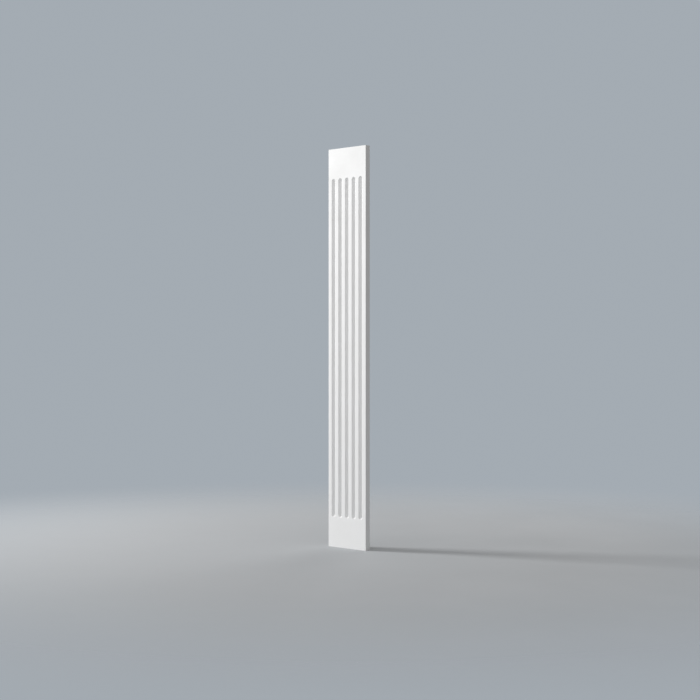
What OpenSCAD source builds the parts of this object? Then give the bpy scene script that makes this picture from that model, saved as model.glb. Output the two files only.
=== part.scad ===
// Fluted pilaster shaft: a flat moulded panel that is fixed to a wall, with a row of
// stopped flutes, each with round ends, between two plain ends.
// Millimetres. +X runs along the wall, +Y points into the wall and +Z points up.
// The origin is at the middle of the back face, which is the face that meets the wall.

/* [Shaft] */
// Height from the foot to the head
shaft_h = 2000; // [1000:10:3000]
// Width across the front
shaft_w = 250; // [220:1:500]
// Thickness from the wall to the front
shaft_t = 30; // [20:1:80]
// Bevel along the two long edges of the front
arris = 1.5; // [0.5:0.5:4]

/* [Flutes] */
// Number of flutes side by side
flute_count = 5; // [1:1:5]
// Width of a flute at the front face
flute_w = 26; // [17:0.5:34]
// Depth of a flute at its middle
flute_d = 8.5; // [3:0.5:13]
// Flat land between one flute and the next
land_w = 19; // [6:0.5:28]
// Plain height left between the foot and the flutes
plain_foot = 150; // [40:1:300]
// Plain height left between the flutes and the head
plain_head = 150; // [40:1:300]

/* [Hidden] */
$fn = 96;

coating_color = [0.94, 0.94, 0.93];

// A flute is a slice of a round bar whose ends are balls. The bar stands proud of the
// front, so that the slice below the front has the flute's own width and depth.
bar_r = (pow(flute_w / 2, 2) + pow(flute_d, 2)) / (2 * flute_d);
bar_proud = bar_r - flute_d;
flute_pitch = flute_w + land_w;

front_y = -shaft_t;
foot_z = -shaft_h / 2;
head_z = shaft_h / 2;

// Heights of the two ball centres of a flute
ball_low_z = foot_z + plain_foot + flute_w / 2;
ball_high_z = head_z - plain_head - flute_w / 2;

// The panel before it is fluted: its plan, raised from the foot to the head.
module panel() {
    translate([0, 0, foot_z])
        linear_extrude(height = shaft_h)
            polygon([
                [-shaft_w / 2, 0],
                [-shaft_w / 2, front_y + arris],
                [-shaft_w / 2 + arris, front_y],
                [shaft_w / 2 - arris, front_y],
                [shaft_w / 2, front_y + arris],
                [shaft_w / 2, 0]
            ]);
}

// Half of the bar's outline, from its axis outwards, with a half round at each end.
module bar_outline() {
    intersection() {
        union() {
            translate([0, ball_low_z])
                circle(r = bar_r);
            translate([0, ball_high_z])
                circle(r = bar_r);
            translate([-bar_r, ball_low_z])
                square([2 * bar_r, ball_high_z - ball_low_z]);
        }
        translate([0, foot_z])
            square([bar_r, shaft_h]);
    }
}

// The bar that one flute is cut with, at its distance from the middle of the front.
module flute_bar(across) {
    translate([across, front_y - bar_proud, 0])
        rotate_extrude()
            bar_outline();
}

module fluted_shaft() {
    color(coating_color)
        difference() {
            panel();
            for (i = [0 : flute_count - 1])
                flute_bar((i - (flute_count - 1) / 2) * flute_pitch);
        }
}

fluted_shaft();
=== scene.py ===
"""Builds the visible pilaster shaft round its CAD frame, with a floor, lights and a camera.

All lengths are in metres. +X runs along the wall, +Y points into the wall and +Z points up,
and the origin is the middle of the shaft's back face.
"""

import math

import bpy
from bpy.props import FloatProperty, FloatVectorProperty, IntProperty, PointerProperty
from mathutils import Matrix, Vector


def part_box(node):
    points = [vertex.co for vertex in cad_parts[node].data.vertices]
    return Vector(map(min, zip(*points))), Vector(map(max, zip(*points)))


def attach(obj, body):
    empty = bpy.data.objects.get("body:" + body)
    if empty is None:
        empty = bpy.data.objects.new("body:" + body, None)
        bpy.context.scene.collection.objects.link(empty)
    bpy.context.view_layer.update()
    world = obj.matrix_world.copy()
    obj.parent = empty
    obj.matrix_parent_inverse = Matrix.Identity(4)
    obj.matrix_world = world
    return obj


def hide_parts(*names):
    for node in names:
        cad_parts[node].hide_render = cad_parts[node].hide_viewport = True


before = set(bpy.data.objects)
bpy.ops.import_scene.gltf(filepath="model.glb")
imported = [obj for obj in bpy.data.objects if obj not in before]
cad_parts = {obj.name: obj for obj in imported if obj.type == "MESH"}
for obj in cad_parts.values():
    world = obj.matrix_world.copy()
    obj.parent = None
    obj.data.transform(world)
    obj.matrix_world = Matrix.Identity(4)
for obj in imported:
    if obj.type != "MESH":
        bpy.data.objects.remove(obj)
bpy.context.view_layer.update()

bl_info = {
    "name": "Fluted Pilaster Shaft",
    "version": (1, 0, 0),
    "blender": (4, 5, 0),
    "location": "3D View > Sidebar > Pilaster",
    "description": "Makes a coated, fluted pilaster shaft and the stage that it is shown on",
    "category": "Add Mesh",
}

SHAFT_NODE = "fluted_shaft"
SHAFT_LOW, SHAFT_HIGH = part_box(SHAFT_NODE)
BODY = "root"


class ShaftSizes(bpy.types.PropertyGroup):
    """Sizes of the flutes and of the softened edges. The outer sizes come from the frame."""

    flute_count: IntProperty(
        name="Flutes",
        description="Number of flutes side by side",
        default=5, min=1,
    )
    flute_width: FloatProperty(
        name="Flute width",
        description="Width of a flute between its edges, before they are softened",
        default=0.026, unit="LENGTH", precision=4,
    )
    flute_depth: FloatProperty(
        name="Flute depth",
        description="Depth of a flute at its middle",
        default=0.0085, unit="LENGTH", precision=4,
    )
    land_width: FloatProperty(
        name="Land",
        description="Flat land between one flute and the next",
        default=0.019, unit="LENGTH", precision=4,
    )
    plain_foot: FloatProperty(
        name="Plain foot",
        description="Plain height between the foot and the flutes",
        default=0.15, unit="LENGTH", precision=4,
    )
    plain_head: FloatProperty(
        name="Plain head",
        description="Plain height between the flutes and the head",
        default=0.15, unit="LENGTH", precision=4,
    )
    arris_radius: FloatProperty(
        name="Arris radius",
        description="Radius of the two long outer edges of the front",
        default=0.0015, unit="LENGTH", precision=4,
    )
    lip_radius: FloatProperty(
        name="Flute lip radius",
        description="Radius of the edge where a flute meets the front",
        default=0.001, unit="LENGTH", precision=4,
    )


class CoatingLook(bpy.types.PropertyGroup):
    """Colours of the coating and of the foam under it, with the painted shade in the foam's pores.
    """

    coat_color: FloatVectorProperty(
        name="Coating",
        description="Colour of the coating",
        default=(0.86, 0.86, 0.86), size=3, subtype="COLOR", min=0, max=1,
    )
    coat_shade: FloatVectorProperty(
        name="Thin coating",
        description="Colour of the coating where it is a little thinner",
        default=(0.84, 0.84, 0.835), size=3, subtype="COLOR", min=0, max=1,
    )
    foam_color: FloatVectorProperty(
        name="Sawn foam",
        description="Colour of the primed foam on the sawn ends and the back",
        default=(0.80, 0.79, 0.76), size=3, subtype="COLOR", min=0, max=1,
    )
    # Colour of the painted shade in the open pores of the foam.
    foam_pore_painted_shade: FloatVectorProperty(
        name="Foam pores",
        description="Colour in the open pores of the foam",
        default=(0.62, 0.60, 0.56), size=3, subtype="COLOR", min=0, max=1,
    )


class StageLook(bpy.types.PropertyGroup):
    """The floor, the lights and the camera."""

    floor_color: FloatVectorProperty(
        name="Floor",
        description="Colour of the floor",
        default=(0.44, 0.455, 0.47), size=3, subtype="COLOR", min=0, max=1,
    )
    backdrop_color: FloatVectorProperty(
        name="Backdrop",
        description="Colour of the plain backdrop",
        default=(0.37, 0.41, 0.45), size=3, subtype="COLOR", min=0, max=1,
    )
    air_round: FloatProperty(
        name="Even light",
        description="Strength of the even light that comes from all round",
        default=0.15, min=0,
    )
    air_front: FloatProperty(
        name="Extra light in front",
        description="Strength that the even light gains towards straight in front",
        default=0.60, min=0,
    )
    air_top: FloatProperty(
        name="Extra light above",
        description="Strength that the even light gains towards straight above",
        default=0.25, min=0,
    )
    key_power: FloatProperty(
        name="Main light",
        description="Power of the main light, at the upper left",
        default=440.0, unit="POWER",
    )
    key_size: FloatProperty(
        name="Main light size",
        description="Side of the main light, which is square",
        default=1.6, unit="LENGTH",
    )
    key_distance: FloatProperty(
        name="Main light distance",
        description="Distance from the main light to the middle of the shaft",
        default=7.0, unit="LENGTH",
    )
    back_power: FloatProperty(
        name="Back light",
        description="Power of the soft light behind the shaft",
        default=60.0, unit="POWER",
    )
    camera_azimuth: FloatProperty(
        name="Camera azimuth",
        description="How far the camera stands to the right of straight in front",
        default=math.radians(41.925), subtype="ANGLE",
    )
    camera_distance: FloatProperty(
        name="Camera distance",
        description="Distance from the camera to the middle of the shaft",
        default=6.994, unit="LENGTH",
    )
    camera_lens: FloatProperty(
        name="Lens",
        description="Focal length of the camera, in millimetres",
        default=72.0,
    )


# ---------------------------------------------------------------- mesh of the shaft

# Steps round each half-round flute end, which must divide by 4 so that a step falls on each
# corner of the square round it.
END_STEPS = 32
HOLLOW_STEPS = 12
LIP_STEPS = 4
ARRIS_STEPS = 5
COATED = 0
SAWN = 1
# Places are rounded to this many decimals of a metre, so that points that coincide are joined.
POINT_PLACES = 7


class Skin:
    """Collects the points and faces of a closed mesh, and joins points that coincide."""

    def __init__(self):
        self.points = []
        self.normals = []
        self.faces = []
        self.finishes = []
        self.found = {}

    def point(self, place, normal):
        """Index of the point at a place. A new point takes the normal of the smooth skin there."""
        key = tuple(round(c, POINT_PLACES) for c in place)
        if key not in self.found:
            self.found[key] = len(self.points)
            self.points.append(place)
            self.normals.append(Vector(normal).normalized())
        return self.found[key]

    def face(self, corners, finish=COATED):
        """Adds a face, leaving out a corner that repeats the one before it."""
        loop = [c for i, c in enumerate(corners) if c != corners[i - 1]]
        if len(loop) > 2:
            self.faces.append(loop)
            self.finishes.append(finish)

    def mesh(self, name):
        """The mesh, smooth over the coated skin and flat over the sawn faces."""
        mesh = bpy.data.meshes.new(name)
        mesh.from_pydata(self.points, [], self.faces)
        if mesh.validate():
            raise RuntimeError("the skin of the shaft has a face that isn't sound")
        mesh.polygons.foreach_set("material_index", self.finishes)
        mesh.polygons.foreach_set("use_smooth", [f == COATED for f in self.finishes])
        corner_normals = []
        for polygon in mesh.polygons:
            smooth = polygon.material_index == COATED
            for v in polygon.vertices:
                corner_normals.append(self.normals[v] if smooth else polygon.normal)
        mesh.normals_split_custom_set(corner_normals)
        mesh.update()
        return mesh


def flute_section(sizes):
    """Half of a flute's section from its middle to its lip, as (across, depth, tilt) triples."""
    half = sizes.flute_width / 2
    depth = sizes.flute_depth
    lip = sizes.lip_radius
    bar = (half ** 2 + depth ** 2) / (2 * depth)
    proud = bar - depth
    lip_across = math.sqrt((bar + lip) ** 2 - (proud + lip) ** 2)
    steepest = math.asin(lip_across / (bar + lip))
    section = []
    for i in range(HOLLOW_STEPS + 1):
        tilt = steepest * i / HOLLOW_STEPS
        section.append((bar * math.sin(tilt), bar * math.cos(tilt) - proud, tilt))
    for i in range(1, LIP_STEPS + 1):
        tilt = steepest * (1 - i / LIP_STEPS)
        section.append((lip_across - lip * math.sin(tilt), lip - lip * math.cos(tilt), tilt))
    return section


def add_flute(skin, sizes, middle_x, low_z, high_z, pitch):
    """One flute, and the flat land round it out to half a pitch."""
    front = SHAFT_LOW.y
    ways = []
    for end_z, start in ((high_z, 0.0), (low_z, math.pi)):
        for i in range(END_STEPS + 1):
            turn = start + math.pi * i / END_STEPS
            ways.append((end_z, math.cos(turn), math.sin(turn)))

    rings = []
    for across, depth, tilt in flute_section(sizes):
        ring = []
        for end_z, c, s in ways:
            place = (middle_x + across * c, front + depth, end_z + across * s)
            normal = (-math.sin(tilt) * c, -math.cos(tilt), -math.sin(tilt) * s)
            ring.append(skin.point(place, normal))
        rings.append(ring)
    border = []
    for end_z, c, s in ways:
        reach = pitch / 2 / max(abs(c), abs(s))
        place = (middle_x + reach * c, front, end_z + reach * s)
        border.append(skin.point(place, (0, -1, 0)))
    rings.append(border)

    for inner, outer in zip(rings, rings[1:]):
        for i in range(len(ways)):
            skin.face([inner[i - 1], outer[i - 1], outer[i], inner[i]])


def edge_section(sizes):
    """Plan of the right edge, from the front round the arris to the back corner.

    Each entry is a place and the way that the smooth skin faces there.
    """
    half_w = SHAFT_HIGH.x
    radius = sizes.arris_radius
    section = []
    for i in range(ARRIS_STEPS + 1):
        turn = math.pi / 2 * i / ARRIS_STEPS
        x = half_w - radius + radius * math.sin(turn)
        y = SHAFT_LOW.y + radius - radius * math.cos(turn)
        section.append(((x, y), (math.sin(turn), -math.cos(turn))))
    section.append(((half_w, SHAFT_HIGH.y), (1, 0)))
    return section


def build_shaft_mesh(sizes):
    """The whole closed skin of the shaft."""
    skin = Skin()
    front = SHAFT_LOW.y
    foot_z = SHAFT_LOW.z
    head_z = SHAFT_HIGH.z
    pitch = sizes.flute_width + sizes.land_width
    low_z = foot_z + sizes.plain_foot + sizes.flute_width / 2
    high_z = head_z - sizes.plain_head - sizes.flute_width / 2
    half_front = SHAFT_HIGH.x - sizes.arris_radius
    if sizes.flute_count * pitch / 2 > half_front:
        raise RuntimeError("the flutes and their lands are wider than the front")
    middles = [(i - (sizes.flute_count - 1) / 2) * pitch for i in range(sizes.flute_count)]
    for middle_x in middles:
        add_flute(skin, sizes, middle_x, low_z, high_z, pitch)

    # Where the steps round a flute's end meet the square round it, out from its middle.
    quarter = END_STEPS // 4
    outs = [pitch / 2 * math.tan(math.pi * i / END_STEPS) for i in range(quarter + 1)]
    columns = [-half_front]
    for middle_x in middles:
        columns += [middle_x - out for out in reversed(outs)]
        columns += [middle_x + out for out in outs]
    columns.append(half_front)
    rows = [foot_z]
    rows += [low_z - out for out in reversed(outs)]
    rows += [high_z + out for out in outs]
    rows.append(head_z)

    def plain(x, z):
        return skin.point((x, front, z), (0, -1, 0))

    for z0, z1 in (rows[0:2], rows[-2:]):
        for x0, x1 in zip(columns, columns[1:]):
            skin.face([plain(x0, z0), plain(x1, z0), plain(x1, z1), plain(x0, z1)])
    for x0, x1 in (columns[0:2], columns[-2:]):
        for z0, z1 in zip(rows[1:-1], rows[2:-1]):
            skin.face([plain(x0, z0), plain(x1, z0), plain(x1, z1), plain(x0, z1)])

    # The plan from the front's right edge round the back to its left edge.
    right = edge_section(sizes)
    left = [((-x, y), (-nx, ny)) for (x, y), (nx, ny) in reversed(right)]
    back = [((x, SHAFT_HIGH.y), (0, 1)) for x in reversed(columns)]
    plan = right + back + left
    rings = []
    for z in rows:
        rings.append([skin.point((x, y, z), (nx, ny, 0)) for (x, y), (nx, ny) in plan])
    back_steps = range(len(right), len(right) + len(back) + 1)
    for low, high in zip(rings, rings[1:]):
        for i in range(1, len(plan)):
            finish = SAWN if i in back_steps else COATED
            skin.face([low[i - 1], low[i], high[i], high[i - 1]], finish)

    # The two sawn ends: a strip from each column to the back, and the two rounded edges.
    for z, ring in ((foot_z, rings[0]), (head_z, rings[-1])):
        front_row = [plain(x, z) for x in columns]
        back_row = ring[len(right):len(right) + len(back)]
        back_row.reverse()
        pieces = [ring[:len(right) + 1], ring[-len(left) - 1:]]
        for i in range(1, len(columns)):
            pieces.append([front_row[i - 1], front_row[i], back_row[i], back_row[i - 1]])
        for corners in pieces:
            if z == foot_z:
                corners.reverse()
            skin.face(corners, SAWN)
    return skin.mesh("fluted_shaft_skin")


# ---------------------------------------------------------------- materials

# The colour sockets of a Mix node share their labels with its other sockets.
MIX_COLOR_A = 6
MIX_COLOR_B = 7
MIX_COLOR_RESULT = 2

# Densities are per metre, and bump heights are in metres.
COAT_PATCHES = 9.0
COAT_ROUGHNESS = (0.48, 0.60)
COAT_GRAINS = 700.0
COAT_SWELLS = 90.0
COAT_BUMP = 0.00002

FOAM_PATCHES = 30.0
FOAM_ROUGHNESS = (0.72, 0.88)
FOAM_GRAINS = 900.0
FOAM_SWELLS = 40.0
FOAM_BUMP = 0.00006
FOAM_CELLS = 650.0
# Distance from the middle of a cell, in cells, at which its pore starts and is fully open.
PORE_RIM = 0.28
PORE_FLOOR = 0.10
SAW_LINES = 60.0
SAW_WANDER = 3.0

FLOOR_PATCHES = 1.5
FLOOR_ROUGHNESS = (0.8, 0.9)
FLOOR_GRAINS = 300.0
FLOOR_SWELLS = 6.0
FLOOR_BUMP = 0.00002
# How much of its colour the floor keeps in its darker patches.
FLOOR_SHADE = 0.98
# Keeps only the level part of a place.
LEVEL_PART = (1, 1, 0)


def add_node(tree, kind, **settings):
    """A new node with its settings: attributes by name, and unlinked inputs by their label."""
    node = tree.nodes.new(kind)
    for key, value in settings.items():
        if hasattr(node, key):
            setattr(node, key, value)
        else:
            node.inputs[key.replace("_", " ")].default_value = value
    return node


def start_group(name, numbers, results):
    """A new shader node group that takes a place and numbers, and gives back numbers."""
    tree = bpy.data.node_groups.new(name, "ShaderNodeTree")
    tree.interface.new_socket("Place", in_out="INPUT", socket_type="NodeSocketVector")
    for label in numbers:
        tree.interface.new_socket(label, in_out="INPUT", socket_type="NodeSocketFloat")
    for label in results:
        tree.interface.new_socket(label, in_out="OUTPUT", socket_type="NodeSocketFloat")
    given = tree.nodes.new("NodeGroupInput")
    result = tree.nodes.new("NodeGroupOutput")
    return tree, given, result


def tone_group():
    """Slow, faint changes of tone over a surface, with finer ones inside them."""
    name = "faint_tone"
    if name in bpy.data.node_groups:
        return bpy.data.node_groups[name]
    tree, given, result = start_group(name, ["Patches per metre"], ["Tone"])
    noise = add_node(tree, "ShaderNodeTexNoise", Detail=5.0, Roughness=0.6)
    spread = add_node(tree, "ShaderNodeMapRange", From_Min=0.35, From_Max=0.65)
    tree.links.new(given.outputs["Place"], noise.inputs["Vector"])
    tree.links.new(given.outputs["Patches per metre"], noise.inputs["Scale"])
    tree.links.new(noise.outputs["Fac"], spread.inputs["Value"])
    tree.links.new(spread.outputs["Result"], result.inputs["Tone"])
    return tree


def grain_group():
    """The fine peel of a sprayed or rolled surface, on a slower swell."""
    name = "fine_grain"
    if name in bpy.data.node_groups:
        return bpy.data.node_groups[name]
    tree, given, result = start_group(name, ["Grains per metre", "Swells per metre"], ["Height"])
    peel = add_node(tree, "ShaderNodeTexNoise", Detail=3.0, Roughness=0.5)
    swell = add_node(tree, "ShaderNodeTexNoise", Detail=1.0)
    both = add_node(tree, "ShaderNodeMath", operation="ADD")
    tree.links.new(given.outputs["Place"], peel.inputs["Vector"])
    tree.links.new(given.outputs["Place"], swell.inputs["Vector"])
    tree.links.new(given.outputs["Grains per metre"], peel.inputs["Scale"])
    tree.links.new(given.outputs["Swells per metre"], swell.inputs["Scale"])
    tree.links.new(peel.outputs["Fac"], both.inputs[0])
    tree.links.new(swell.outputs["Fac"], both.inputs[1])
    tree.links.new(both.outputs["Value"], result.inputs["Height"])
    return tree


def place_group(tree, group, place, **numbers):
    """Puts a node group in a material, with its place and its own numbers."""
    node = tree.nodes.new("ShaderNodeGroup")
    node.node_tree = group
    tree.links.new(place, node.inputs["Place"])
    for label, value in numbers.items():
        node.inputs[label.replace("_", " ")].default_value = value
    return node


def start_material(name):
    """A new material with its shader, and the place on the object."""
    material = bpy.data.materials.new(name)
    material.use_nodes = True
    tree = material.node_tree
    tree.nodes.clear()
    output = tree.nodes.new("ShaderNodeOutputMaterial")
    shader = tree.nodes.new("ShaderNodeBsdfPrincipled")
    tree.links.new(shader.outputs["BSDF"], output.inputs["Surface"])
    place = tree.nodes.new("ShaderNodeTexCoord").outputs["Object"]
    return material, tree, shader, place


def mix_color(tree, mask, color_a, color_b):
    """Goes from one colour to another as a mask rises."""
    mix = add_node(tree, "ShaderNodeMix", data_type="RGBA")
    mix.inputs[MIX_COLOR_A].default_value = (*color_a, 1)
    mix.inputs[MIX_COLOR_B].default_value = (*color_b, 1)
    tree.links.new(mask, mix.inputs["Factor"])
    return mix


def vary_roughness(tree, shader, mask, limits):
    """Lets the roughness follow a mask, between its two limits."""
    low, high = limits
    rough = add_node(tree, "ShaderNodeMapRange", To_Min=low, To_Max=high)
    tree.links.new(mask, rough.inputs["Value"])
    tree.links.new(rough.outputs["Result"], shader.inputs["Roughness"])


def raise_surface(tree, shader, height, distance):
    """Lets the surface rise and fall with a height that goes from about 0 to 1."""
    bump = add_node(tree, "ShaderNodeBump", Distance=distance)
    tree.links.new(height, bump.inputs["Height"])
    tree.links.new(bump.outputs["Normal"], shader.inputs["Normal"])


def coating_material(look):
    """The sprayed white coating: matt, with a fine peel and hardly any change of tone."""
    material, tree, shader, place = start_material("white_coating")
    tone = place_group(tree, tone_group(), place, Patches_per_metre=COAT_PATCHES)
    color = mix_color(tree, tone.outputs["Tone"], look.coat_color, look.coat_shade)
    tree.links.new(color.outputs[MIX_COLOR_RESULT], shader.inputs["Base Color"])
    vary_roughness(tree, shader, tone.outputs["Tone"], COAT_ROUGHNESS)
    peel = place_group(tree, grain_group(), place,
                       Grains_per_metre=COAT_GRAINS, Swells_per_metre=COAT_SWELLS)
    raise_surface(tree, shader, peel.outputs["Height"], COAT_BUMP)
    return material


def foam_material(look):
    """The primed foam of the sawn ends and the back, with open pores that are sunk by bump and
    darkened by painted shade, and fine saw lines.
    """
    material, tree, shader, place = start_material("sawn_foam")
    tone = place_group(tree, tone_group(), place, Patches_per_metre=FOAM_PATCHES)
    cells = add_node(tree, "ShaderNodeTexVoronoi", Scale=FOAM_CELLS)
    pores = add_node(tree, "ShaderNodeMapRange", From_Min=PORE_RIM, From_Max=PORE_FLOOR)
    lines = add_node(tree, "ShaderNodeTexWave", Scale=SAW_LINES, Distortion=SAW_WANDER, Detail=3.0,
                     bands_direction="Z")
    grain = place_group(tree, grain_group(), place,
                        Grains_per_metre=FOAM_GRAINS, Swells_per_metre=FOAM_SWELLS)
    # The pores are darkened with painted shade in the base colour, as well as sunk by the bump.
    color = mix_color(tree, pores.outputs["Result"], look.foam_color, look.foam_pore_painted_shade)
    scored = add_node(tree, "ShaderNodeMath", operation="ADD")
    sunk = add_node(tree, "ShaderNodeMath", operation="SUBTRACT")
    tree.links.new(place, cells.inputs["Vector"])
    tree.links.new(place, lines.inputs["Vector"])
    tree.links.new(cells.outputs["Distance"], pores.inputs["Value"])
    tree.links.new(color.outputs[MIX_COLOR_RESULT], shader.inputs["Base Color"])
    vary_roughness(tree, shader, tone.outputs["Tone"], FOAM_ROUGHNESS)
    tree.links.new(grain.outputs["Height"], scored.inputs[0])
    tree.links.new(lines.outputs["Fac"], scored.inputs[1])
    tree.links.new(scored.outputs["Value"], sunk.inputs[0])
    tree.links.new(pores.outputs["Result"], sunk.inputs[1])
    raise_surface(tree, shader, sunk.outputs["Value"], FOAM_BUMP)
    return material


def floor_material(look, clear_radius, gone_radius):
    """The floor's plain paint, which fades out with the distance from the shaft."""
    material, tree, shader, place = start_material("floor_paint")
    tone = place_group(tree, tone_group(), place, Patches_per_metre=FLOOR_PATCHES)
    darker = [c * FLOOR_SHADE for c in look.floor_color]
    color = mix_color(tree, tone.outputs["Tone"], look.floor_color, darker)
    tree.links.new(color.outputs[MIX_COLOR_RESULT], shader.inputs["Base Color"])
    vary_roughness(tree, shader, tone.outputs["Tone"], FLOOR_ROUGHNESS)
    grain = place_group(tree, grain_group(), place,
                        Grains_per_metre=FLOOR_GRAINS, Swells_per_metre=FLOOR_SWELLS)
    raise_surface(tree, shader, grain.outputs["Height"], FLOOR_BUMP)

    flat = add_node(tree, "ShaderNodeVectorMath", operation="MULTIPLY")
    flat.inputs[1].default_value = LEVEL_PART
    away = add_node(tree, "ShaderNodeVectorMath", operation="LENGTH")
    fade = add_node(tree, "ShaderNodeMapRange", From_Min=clear_radius, From_Max=gone_radius,
                    interpolation_type="SMOOTHSTEP")
    clear = tree.nodes.new("ShaderNodeBsdfTransparent")
    mix = tree.nodes.new("ShaderNodeMixShader")
    output = next(n for n in tree.nodes if n.type == "OUTPUT_MATERIAL")
    tree.links.new(place, flat.inputs[0])
    tree.links.new(flat.outputs["Vector"], away.inputs[0])
    tree.links.new(away.outputs["Value"], fade.inputs["Value"])
    tree.links.new(fade.outputs["Result"], mix.inputs["Fac"])
    tree.links.new(shader.outputs["BSDF"], mix.inputs[1])
    tree.links.new(clear.outputs["BSDF"], mix.inputs[2])
    tree.links.new(mix.outputs["Shader"], output.inputs["Surface"])
    return material


class PILASTER_OT_shaft(bpy.types.Operator):
    """Make the coated shaft in place of its CAD solid"""

    bl_idname = "pilaster.shaft"
    bl_label = "Make the shaft"

    def execute(self, context):
        look = context.scene.pilaster_coating
        mesh = build_shaft_mesh(context.scene.pilaster_sizes)
        mesh.materials.append(coating_material(look))
        mesh.materials.append(foam_material(look))
        shaft = bpy.data.objects.new("fluted_shaft_coated", mesh)
        context.scene.collection.objects.link(shaft)
        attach(shaft, BODY)
        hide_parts(SHAFT_NODE)
        return {"FINISHED"}


# ---------------------------------------------------------------- stage

# The way that the main light travels: to the right, towards the wall and down.
KEY_TRAVEL = Vector((0.854, 0.409, -0.323))
BACK_PLACE = Vector((-1.5, 5.0, 1.5))
BACK_SIZE = 3.0
FLOOR_HALF = 40.0
FLOOR_CLEAR_RADIUS = 1.0
FLOOR_GONE_RADIUS = 3.8
# The camera looks a little to the right of the shaft's middle, and a little below it.
AIM_ACROSS = 0.0053
AIM_DOWN = 0.0102


def aim(item, target):
    """Turns a light or a camera so that it looks at a place, with its top kept up."""
    item.rotation_euler = (target - item.location).to_track_quat("-Z", "Y").to_euler()


def add_light(context, name, place, target, size, power):
    """A square light that faces a place."""
    data = bpy.data.lights.new(name, "AREA")
    data.shape = "SQUARE"
    data.size = size
    data.energy = power
    light = bpy.data.objects.new(name, data)
    context.scene.collection.objects.link(light)
    light.location = place
    aim(light, target)


def make_surroundings(look):
    """Even light from all round, stronger in front and above, before a plain backdrop."""
    world = bpy.data.worlds.new("surroundings")
    world.use_nodes = True
    tree = world.node_tree
    tree.nodes.clear()
    output = tree.nodes.new("ShaderNodeOutputWorld")
    way = tree.nodes.new("ShaderNodeTexCoord")
    split = tree.nodes.new("ShaderNodeSeparateXYZ")
    front = add_node(tree, "ShaderNodeMapRange", From_Min=0.0, From_Max=-1.0,
                     To_Min=look.air_round, To_Max=look.air_round + look.air_front)
    above = add_node(tree, "ShaderNodeMapRange", To_Max=look.air_top)
    strength = add_node(tree, "ShaderNodeMath", operation="ADD")
    light = add_node(tree, "ShaderNodeBackground", Color=(1, 1, 1, 1))
    backdrop = add_node(tree, "ShaderNodeBackground", Color=(*look.backdrop_color, 1))
    path = tree.nodes.new("ShaderNodeLightPath")
    mix = tree.nodes.new("ShaderNodeMixShader")
    tree.links.new(way.outputs["Generated"], split.inputs["Vector"])
    tree.links.new(split.outputs["Y"], front.inputs["Value"])
    tree.links.new(split.outputs["Z"], above.inputs["Value"])
    tree.links.new(front.outputs["Result"], strength.inputs[0])
    tree.links.new(above.outputs["Result"], strength.inputs[1])
    tree.links.new(strength.outputs["Value"], light.inputs["Strength"])
    tree.links.new(path.outputs["Is Camera Ray"], mix.inputs["Fac"])
    tree.links.new(light.outputs["Background"], mix.inputs[1])
    tree.links.new(backdrop.outputs["Background"], mix.inputs[2])
    tree.links.new(mix.outputs["Shader"], output.inputs["Surface"])
    return world


def make_floor(context, look):
    """A wide floor at the level of the shaft's foot."""
    z = SHAFT_LOW.z
    corners = [(-1, -1), (1, -1), (1, 1), (-1, 1)]
    points = [(x * FLOOR_HALF, y * FLOOR_HALF, z) for x, y in corners]
    mesh = bpy.data.meshes.new("floor")
    mesh.from_pydata(points, [], [(0, 1, 2, 3)])
    mesh.materials.append(floor_material(look, FLOOR_CLEAR_RADIUS, FLOOR_GONE_RADIUS))
    floor = bpy.data.objects.new("floor", mesh)
    context.scene.collection.objects.link(floor)


def make_camera(context, look, middle):
    """The camera, level, to the right of straight in front."""
    azimuth = look.camera_azimuth
    back = Vector((math.sin(azimuth), -math.cos(azimuth), 0))
    across = Vector((math.cos(azimuth), math.sin(azimuth), 0))
    aimed_at = middle + across * AIM_ACROSS - Vector((0, 0, AIM_DOWN))
    data = bpy.data.cameras.new("camera")
    data.lens = look.camera_lens
    camera = bpy.data.objects.new("camera", data)
    context.scene.collection.objects.link(camera)
    camera.location = aimed_at + back * look.camera_distance
    aim(camera, aimed_at)
    context.scene.camera = camera


class PILASTER_OT_stage(bpy.types.Operator):
    """Make the floor, the lights and the camera"""

    bl_idname = "pilaster.stage"
    bl_label = "Make the stage"

    def execute(self, context):
        look = context.scene.pilaster_stage
        middle = (SHAFT_LOW + SHAFT_HIGH) / 2
        make_floor(context, look)
        context.scene.world = make_surroundings(look)
        add_light(context, "key", middle - KEY_TRAVEL * look.key_distance, middle,
                  look.key_size, look.key_power)
        add_light(context, "back", middle + BACK_PLACE, middle, BACK_SIZE, look.back_power)
        make_camera(context, look, middle)
        context.scene.view_settings.view_transform = "Standard"
        return {"FINISHED"}


class PILASTER_PT_panel(bpy.types.Panel):
    """Lists the pieces that can be made"""

    bl_idname = "PILASTER_PT_panel"
    bl_label = "Pilaster"
    bl_space_type = "VIEW_3D"
    bl_region_type = "UI"
    bl_category = "Pilaster"

    def draw(self, context):
        for operator in OPERATORS:
            self.layout.operator(operator.bl_idname)


OPERATORS = (PILASTER_OT_stage, PILASTER_OT_shaft)
CLASSES = (ShaftSizes, CoatingLook, StageLook, *OPERATORS, PILASTER_PT_panel)


def register():
    for cls in CLASSES:
        bpy.utils.register_class(cls)
    bpy.types.Scene.pilaster_sizes = PointerProperty(type=ShaftSizes)
    bpy.types.Scene.pilaster_coating = PointerProperty(type=CoatingLook)
    bpy.types.Scene.pilaster_stage = PointerProperty(type=StageLook)


def unregister():
    del bpy.types.Scene.pilaster_stage
    del bpy.types.Scene.pilaster_coating
    del bpy.types.Scene.pilaster_sizes
    for cls in reversed(CLASSES):
        bpy.utils.unregister_class(cls)


def main():
    register()
    bpy.ops.pilaster.stage()
    bpy.ops.pilaster.shaft()


if __name__ == "__main__":
    main()
